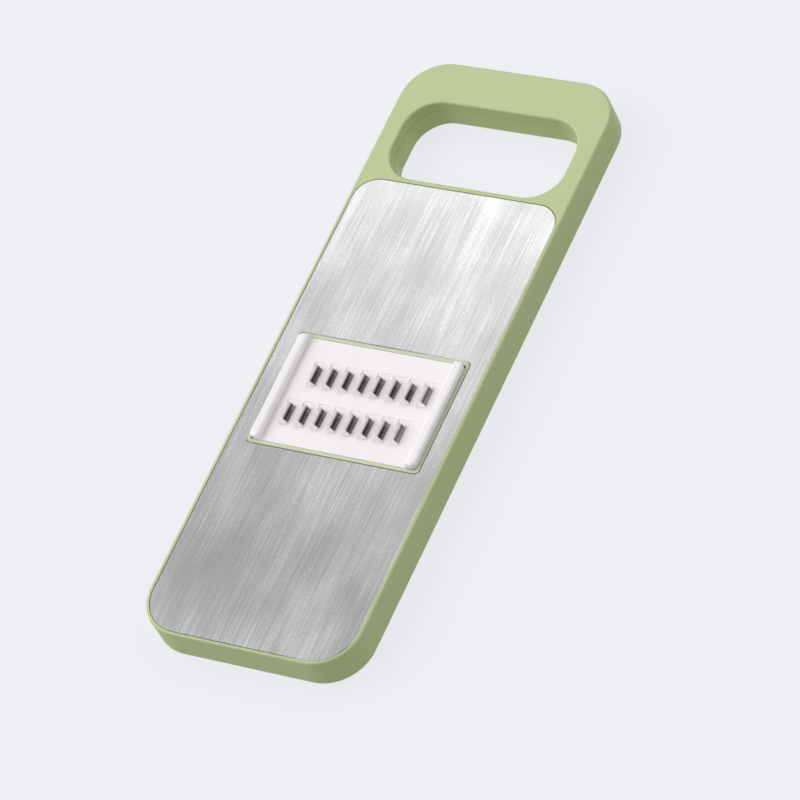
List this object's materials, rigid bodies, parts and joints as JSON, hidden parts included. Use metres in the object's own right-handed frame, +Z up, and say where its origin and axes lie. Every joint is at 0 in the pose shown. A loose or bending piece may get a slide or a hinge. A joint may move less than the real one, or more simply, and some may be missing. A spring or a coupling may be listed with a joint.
{
  "type": "mandoline slicer",
  "caption": "Hand-held flat mandoline slicer: green moulded body with a finger opening, brushed steel face and a lift-out white insert with staggered rows of raised steel teeth.",
  "frame": {"origin": "under the middle of the body, on the flat underside that it lies on", "axes": "+X across the tool, +Y along it towards the finger opening, +Z up out of the steel face"},
  "size_m": [0.1, 0.29, 0.0181],
  "materials": {
    "green_abs": "satin moulded ABS, sage green",
    "brushed_steel": "long straight brushing along the tool",
    "adhesive_film": "die-cut double-sided film",
    "white_abs": "satin moulded ABS, white",
    "blade_steel": "stamped stainless, ground at the mouths"
  },
  "bodies": {
    "body": {"body_shell": "green_abs", "back_cover": "green_abs", "face_plate": "brushed_steel", "bonding_film": "adhesive_film"},
    "insert": {"insert_panel": "white_abs", "blade_strip_back": "blade_steel", "strip_clamp_back": "white_abs", "blade_strip_front": "blade_steel", "strip_clamp_front": "white_abs"}
  },
  "joints": [
    {"name": "insert_lift", "type": "slide", "parent": "body", "child": "insert", "axis": [0, 0, 1], "range_m": [0, 0.04]}
  ]
}
